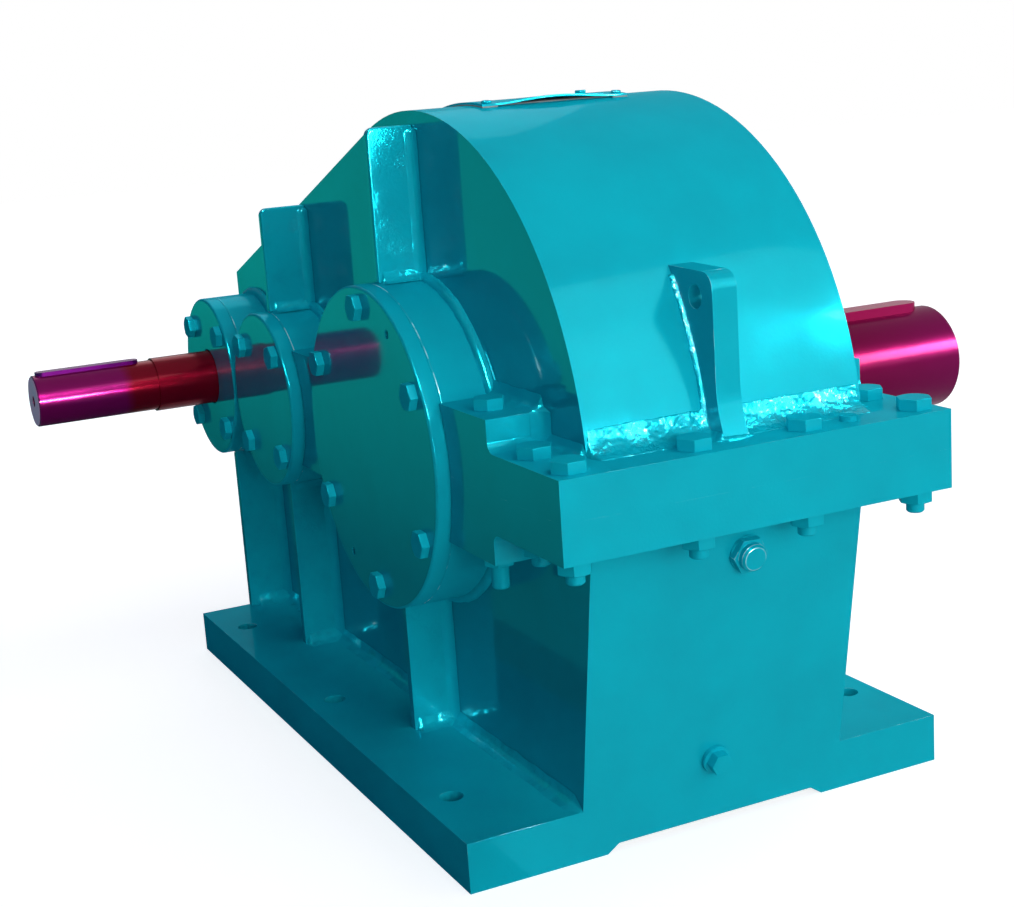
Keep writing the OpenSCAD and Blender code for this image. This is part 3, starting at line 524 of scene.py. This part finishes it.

# %% [markdown]
# ## Rounded edges
# Every edge of the real casing is broken by a grinder and then filled by paint, and it
# is the thin bright line on such an edge that makes an object look real. We copy the
# imported mesh, merge its loose triangles, dissolve what is flat into whole faces, and
# let a bevel modifier round the edges that are sharper than 30 degrees. The bevel's own
# faces get a second material: on plates and flanges it is teal with pale cyan flecks,
# partly paint that ran thin and chipped on the edge and partly a painted highlight. A
# piece can have a third one for its flat faces that look along X, stopping above the
# foot: a glossier paint whose darker teal is painted shade. A weighted normal modifier
# then keeps the large faces flat. The copy stands for the imported piece.

# %% Round a copy of a node
merge_distance, flat_angle = 0.00002, math.radians(0.6)
sharp_angle, smooth_angle = math.radians(30), math.radians(40)
faces_along_x, foot_height = 0.95, 0.06

def rounded(node, width, main=None, edge=None, side=None, segments=2):
    clear_selection()
    piece = bpy.data.objects.new("round_" + node, frame["nodes"][node].data.copy())
    scene.collection.objects.link(piece)
    piece.select_set(True)
    bpy.context.view_layer.objects.active = piece
    if piece.data.has_custom_normals:
        bpy.ops.mesh.customdata_custom_splitnormals_clear()
    bpy.ops.object.mode_set(mode="EDIT")
    bpy.ops.mesh.select_all(action="SELECT")
    bpy.ops.mesh.remove_doubles(threshold=merge_distance)
    bpy.ops.mesh.dissolve_limited(angle_limit=flat_angle)
    bpy.ops.object.mode_set(mode="OBJECT")
    dress(piece, main or by_slot[slot_of[node]])
    piece.data.materials.append(edge or teal_edge_chips_and_highlight)
    bpy.ops.object.modifier_add(type="BEVEL")
    bevel = piece.modifiers[-1]
    bevel.width, bevel.segments, bevel.material = width, segments, 1
    bevel.limit_method, bevel.angle_limit = "ANGLE", sharp_angle
    bevel.use_clamp_overlap = True
    bevel.miter_outer = "MITER_ARC"
    bpy.ops.object.modifier_apply(modifier=bevel.name)
    # Faces along X above the foot get the painted shade material.
    if side:
        piece.data.materials.append(side)
        for face in piece.data.polygons:
            if (face.material_index == 0 and abs(face.normal.x) > faces_along_x
                    and face.center.z > foot_height):
                face.material_index = 2
    bpy.ops.object.shade_smooth_by_angle(angle=smooth_angle)
    bpy.ops.object.modifier_add(type="WEIGHTED_NORMAL")
    piece.modifiers[-1].keep_sharp = True
    bpy.ops.object.modifier_apply(modifier=piece.modifiers[-1].name)
    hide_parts(node)
    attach(piece, "casing")
    print(piece.name, len(piece.data.polygons), "faces")
    return piece

# %% Round the painted pieces
plate_round, flange_round, lug_round = 0.0024, 0.0032, 0.0045
small_round, thin_round = 0.0012, 0.0008
for node in ("upper_casing", "upper_housings", "lower_casing", "lower_housings"):
    rounded(node, plate_round, side=teal_side_painted_shade)
for node in ("upper_flange", "lower_flange"):
    rounded(node, flange_round, side=teal_side_painted_shade)
for node in ("upper_ribs", "lower_ribs"):
    rounded(node, plate_round, main=teal_rough, edge=teal, side=teal_side_painted_shade)
rounded("lifting_lugs", lug_round, side=teal_side_painted_shade, segments=3)
for node in ("cover_out_blind", "cover_mid_left", "cover_in_through"):
    rounded(node, small_round, edge=teal, side=teal_side_painted_shade)
for node in ("cover_out_through", "cover_mid_right", "cover_in_blind"):
    rounded(node, small_round)
for node in ("cover_screws", "flange_bolts", "flange_nuts", "boss_bolts",
             "boss_nuts", "inspection_screws", "vent_plug", "drain_plug"):
    rounded(node, small_round, edge=teal)
rounded("level_plug", thin_round)

# %% [markdown]
# ## Heads thick with paint
# The hexagon heads and nuts were painted many times and look fatter than bare ones. Each
# screw is a loose island of the joined mesh, so the mesh is separated into its islands,
# the head of each is widened square to the screw's own axis, and all are joined again.
# The head is the end that stands farthest out from the middle of the gearbox.

# %% Widen the heads
along_x, upright = 0, 2

def widen(name, grow, axis, head=None):
    """head is its height in metres; without one, as for nuts, the whole piece grows."""
    clear_selection()
    whole = bpy.data.objects[name]
    whole.select_set(True)
    bpy.context.view_layer.objects.active = whole
    bpy.ops.object.mode_set(mode="EDIT")
    bpy.ops.mesh.select_all(action="SELECT")
    bpy.ops.mesh.separate(type="LOOSE")
    bpy.ops.object.mode_set(mode="OBJECT")
    islands = list(bpy.context.selected_objects)
    for island in islands:
        places = [v.co for v in island.data.vertices]
        low = Vector(min(p[i] for p in places) for i in range(3))
        high = Vector(max(p[i] for p in places) for i in range(3))
        middle = (low + high) / 2
        end = max(abs(low[axis]), abs(high[axis]))
        for point in island.data.vertices:
            if head is None or abs(point.co[axis]) > end - head:
                for i in range(3):
                    if i != axis:
                        point.co[i] = middle[i] + (point.co[i] - middle[i]) * grow
    for island in islands:
        island.select_set(True)
    bpy.context.view_layer.objects.active = whole
    bpy.ops.object.join()
    print(name, "has", len(islands), "widened pieces")

widen("round_flange_bolts", 1.17, upright, head=0.0135)
widen("round_boss_bolts", 1.05, upright, head=0.0135)
widen("round_flange_nuts", 1.12, upright)
widen("round_boss_nuts", 1.06, upright)
widen("round_cover_screws", 1.22, along_x, head=0.0105)

# %% [markdown]
# ## The thin inspection cover
# It is sheet metal on a soft gasket, and the screws near its corners have pulled those
# down while the front edge between them stands up a little, so that a dark gap shows
# there. The flat packed sheet has no points between its corners to bend, so it is first
# cut into strips both ways, and then its points are lifted square to the curved top,
# most at the middle of the front edge and not at all at the screws.

# %% Bow the sheet
sheet = rounded("inspection_cover", thin_round, edge=teal)
sheet_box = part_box("inspection_cover")
sheet_low, sheet_high = Vector(sheet_box[0]), Vector(sheet_box[1])
strips = ((0, 14), (1, 10))
clear_selection()
sheet.select_set(True)
bpy.context.view_layer.objects.active = sheet
bpy.ops.object.mode_set(mode="EDIT")
for axis, count in strips:
    for i in range(1, count):
        at = Vector((0, 0, 0))
        at[axis] = sheet_low[axis] + (sheet_high[axis] - sheet_low[axis]) * i / count
        way = Vector((0, 0, 0))
        way[axis] = 1
        bpy.ops.mesh.select_all(action="SELECT")
        bpy.ops.mesh.bisect(plane_co=at, plane_no=way)
bpy.ops.object.mode_set(mode="OBJECT")
lift_most = 0.0052
bow_middle, bow_half, bow_depth = -0.002, 0.083, 0.060
for point in sheet.data.vertices:
    across = (point.co.x - bow_middle) / bow_half
    behind = (point.co.y - sheet_low.y) / bow_depth
    if abs(across) < 1 and behind < 1:
        lift = lift_most * (1 - across ** 2) ** 2 * (1 - behind) ** 2
        outward = Vector((0, point.co.y - out_y, point.co.z - axis_z)).normalized()
        point.co += outward * lift
print("sheet lifted to", round(max(v.co.z for v in sheet.data.vertices), 4))

# %% [markdown]
# ## Weld beads
# The casing is welded from plate, and the paint does not hide it: along every joint
# runs a rounded, lumpy bead that glitters. A bead is the stretch of a round rod that
# lies in the corner between two plates, half sunk in both. A straight one starts as a
# cylinder whose long edges are cut into short ones; most have their open side drawn in,
# because molten steel fills a corner with a hollow. A bead round a bearing housing
# starts as a torus, and a bisect keeps the part that is in the open. They are joined
# into a few pieces and then pushed about by cloud textures, for the welder's uneven hand
# and for the ripples. Where the paint has run thick into a corner it is pushed less.

# %% A straight bead with rounded ends, hollow towards the open side if one is given
beads = []
hollow_half, sunk_share = 0.79, 0.4
most_cuts, least_end = 60, 0.25

def straight_bead(start, end, radius, open_way=None, step=0.0032):
    """Within hollow_half, in radians, of the open side the rod is drawn in to a hollow."""
    a, b = Vector(start), Vector(end)
    half = (b - a).length / 2
    turn = (b - a).to_track_quat("Z", "Y")
    clear_selection()
    bpy.ops.mesh.primitive_cylinder_add(
        vertices=24 if open_way else 12, radius=radius, depth=2 * half,
        location=(a + b) / 2, rotation=turn.to_euler())
    piece = bpy.context.object
    if open_way:
        outward = (turn.inverted() @ Vector(open_way)).xy.normalized()
        for point in piece.data.vertices:
            off = point.co.xy.angle(outward)
            both = math.sqrt(2) * math.cos(off)
            hollow = both - math.sqrt(max(0, both * both - 1))
            point.co.xy *= hollow if off < hollow_half else sunk_share
    bpy.ops.object.mode_set(mode="EDIT")
    bpy.ops.mesh.select_mode(type="EDGE")
    bpy.ops.mesh.select_all(action="DESELECT")
    bpy.ops.object.mode_set(mode="OBJECT")
    for edge in piece.data.edges:
        p, q = (piece.data.vertices[i].co for i in edge.vertices)
        edge.select = abs(p.z - q.z) > half
    bpy.ops.object.mode_set(mode="EDIT")
    cuts = max(1, min(most_cuts, round(2 * half / step) - 1))
    bpy.ops.mesh.subdivide(number_cuts=cuts)
    bpy.ops.object.mode_set(mode="OBJECT")
    taper = radius * (0.2 if open_way else 1)
    for point in piece.data.vertices:
        inside = max(0, (half - abs(point.co.z)) / taper)
        if inside < 1:
            point.co.xy *= max(least_end, math.sqrt(1 - (1 - inside) ** 2))
    bpy.ops.object.transform_apply(location=True, rotation=True, scale=True)
    beads.append(piece)

# %% A bead round a circle whose axis is along X
def round_bead(x, y, z, radius, thick, cuts):
    """Each cut is a point and a direction; what lies beyond the point that way goes."""
    clear_selection()
    bpy.ops.mesh.primitive_torus_add(
        major_radius=radius, minor_radius=thick, major_segments=round(radius * 2000),
        minor_segments=12, location=(x, y, z), rotation=(0, math.pi / 2, 0))
    bpy.ops.object.transform_apply(location=True, rotation=True, scale=True)
    piece = bpy.context.object
    bpy.ops.object.mode_set(mode="EDIT")
    for point, normal in cuts:
        bpy.ops.mesh.select_all(action="SELECT")
        bpy.ops.mesh.bisect(plane_co=point, plane_no=normal, use_fill=True, clear_outer=True)
    bpy.ops.object.mode_set(mode="OBJECT")
    beads.append(piece)

# %% Join the beads laid so far and roughen them
crease_angle = math.radians(52)
fused_smoothing = 8

def finish_beads(name, material, clouds, fuse=None):
    """Each cloud is a size and a height. fuse is the voxel size that melts beads together."""
    clear_selection()
    for piece in beads:
        piece.select_set(True)
    bpy.context.view_layer.objects.active = beads[0]
    bpy.ops.object.join()
    piece = bpy.context.object
    piece.name = name
    if fuse:
        bpy.ops.object.modifier_add(type="REMESH")
        piece.modifiers[-1].mode, piece.modifiers[-1].voxel_size = "VOXEL", fuse
        bpy.ops.object.modifier_apply(modifier=piece.modifiers[-1].name)
        bpy.ops.object.modifier_add(type="SMOOTH")
        piece.modifiers[-1].iterations = fused_smoothing
        bpy.ops.object.modifier_apply(modifier=piece.modifiers[-1].name)
    for size, strength in clouds:
        cloud = bpy.data.textures.new(name + "_cloud", "CLOUDS")
        cloud.noise_scale = size
        bpy.ops.object.modifier_add(type="DISPLACE")
        push = piece.modifiers[-1]
        push.texture, push.strength, push.mid_level = cloud, strength, 0.5
        bpy.ops.object.modifier_apply(modifier=push.name)
    bpy.ops.object.shade_smooth_by_angle(angle=crease_angle)
    dress(piece, material)
    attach(piece, "casing")
    print(name, len(piece.data.polygons), "faces")
    beads.clear()

molten_clouds = ((0.032, 0.0016), (0.013, 0.0014), (0.006, 0.0022))
rough_clouds = ((0.025, 0.0040), (0.010, 0.0026), (0.005, 0.0012))
soft_clouds = ((0.020, 0.0024), (0.008, 0.0010))

# %% Where the plates meet
# A housing is its shaft's Y and its radius. An upper rib is its Y, the height of its foot
# and head, and how far out it reaches; a lower one its Y, head and the faces that show.
housings = ((out_y, 0.195), (mid_y, 0.1215), (in_y, 0.1185))
housing_end = 0.2335
upper_ribs = ((out_y, 0.617, 0.793, 0.226), (mid_y, 0.5435, 0.682, 0.231))
lower_ribs = ((out_y, 0.228, (-1, 1)), (mid_y, 0.301, (-1, 1)), (0.471, 0.304, (-1,)))
lug_faces = (-0.0275, 0.0035)
crown_radius = 0.3912
up_way, down_way = (0, 0, 1), (0, 0, -1)
above_flange, below_flange = (0, 0, flange_top + 0.001), (0, 0, flange_under - 0.001)

def along_housings(side, height, far_end):
    """Beads where the flange at this height above the axis meets the housings."""
    for y, r in housings:
        reach = math.sqrt(r * r - height * height)
        for way in (-1, 1):
            if y + way * reach < far_end:
                straight_bead((side * plate, y + way * reach, axis_z + height),
                              (side * housing_end, y + way * reach, axis_z + height), 0.0100,
                              (0, way, height))

# %% The rough beads that show most: front joint and lifting lugs
straight_bead((-0.1735, -0.5420, 0.4655), (0.1735, -0.5420, 0.4655), 0.032, (0, -1, 1))
for x in lug_faces:
    round_bead(x, out_y, axis_z, crown_radius, 0.0042,
               [(above_flange, down_way), ((0, 0, 0.632), up_way), ((0, -0.3, 0), (0, 1, 0))])
    straight_bead((x, -0.552, flange_top), (x, -0.581, flange_top), 0.0110,
                  (x + 0.012, 0, 0.0155))
    straight_bead((x, 0.5835, 0.468), (x, 0.5835, 0.558), 0.0060)
straight_bead((lug_faces[0], -0.5805, 0.4665), (lug_faces[1], -0.5805, 0.4665), 0.0040)
straight_bead((-0.168, 0.5840, flange_top), (0.168, 0.5840, flange_top), 0.020, (0, 1, 1))
finish_beads("weld_beads_front", teal_molten, molten_clouds, fuse=0.0015)

# %% Feet of the ribs
for s in (-1, 1):
    for y, foot, head, out in upper_ribs:
        for face in (-1, 1):
            straight_bead((s * (plate - 0.003), y + face * rib_half, foot),
                          (s * out, y + face * rib_half, foot), 0.0130, (0, face, 1))
    for y, head, faces in lower_ribs:
        for face in faces:
            straight_bead((s * (plate - 0.003), y + face * rib_half, base_top),
                          (s * 0.227, y + face * rib_half, base_top), 0.0160, (0, face, 1))
    straight_bead((s * plate, -0.491, base_top), (s * plate, 0.474, base_top), 0.0150, (s, 0, 1))
finish_beads("weld_beads_feet", teal_weld, rough_clouds)

# %% Paint-filled corners of the upper half
for s in (-1, 1):
    for y, foot, head, out in upper_ribs:
        for face in (-1, 1):
            straight_bead((s * plate, y + face * rib_half, foot - 0.006),
                          (s * plate, y + face * rib_half, head), 0.0110, (s, face, 0))
    for y, r in housings:
        round_bead(s * plate, y, axis_z, r, 0.0085, [(above_flange, down_way)])
    along_housings(s, flange_half, 1)
    straight_bead((s * plate, -0.5445, flange_top), (s * plate, -0.457, flange_top), 0.0130,
                  (s, 0, 1))
    straight_bead((s * plate, -0.4565, flange_top), (s * plate, -0.4565, 0.505), 0.0170,
                  (s, -1, 0))
    for near, far in ((-0.457, -0.336), (0.022, 0.134)):
        straight_bead((s * plate, near, 0.5010), (s * plate, far, 0.5010), 0.0170, (s, 0, 1))
finish_beads("painted_corners_upper", teal, soft_clouds)

# %% Paint-filled corners of the lower half
for s in (-1, 1):
    for y, head, faces in lower_ribs:
        for face in faces:
            straight_bead((s * plate, y + face * rib_half, base_top - 0.002),
                          (s * plate, y + face * rib_half, head + 0.004), 0.0110, (s, face, 0))
            straight_bead((s * plate, y + face * rib_half, head),
                          (s * 0.225, y + face * rib_half, head), 0.0130, (0, face, -1))
    for y, r in housings:
        round_bead(s * plate, y, axis_z, r, 0.0085, [(below_flange, up_way)])
    along_housings(s, -flange_half, 0.57)
straight_bead((-0.168, -0.5475, 0.3765), (0.168, -0.5475, 0.3765), 0.0050)
finish_beads("painted_corners_lower", teal, soft_clouds)
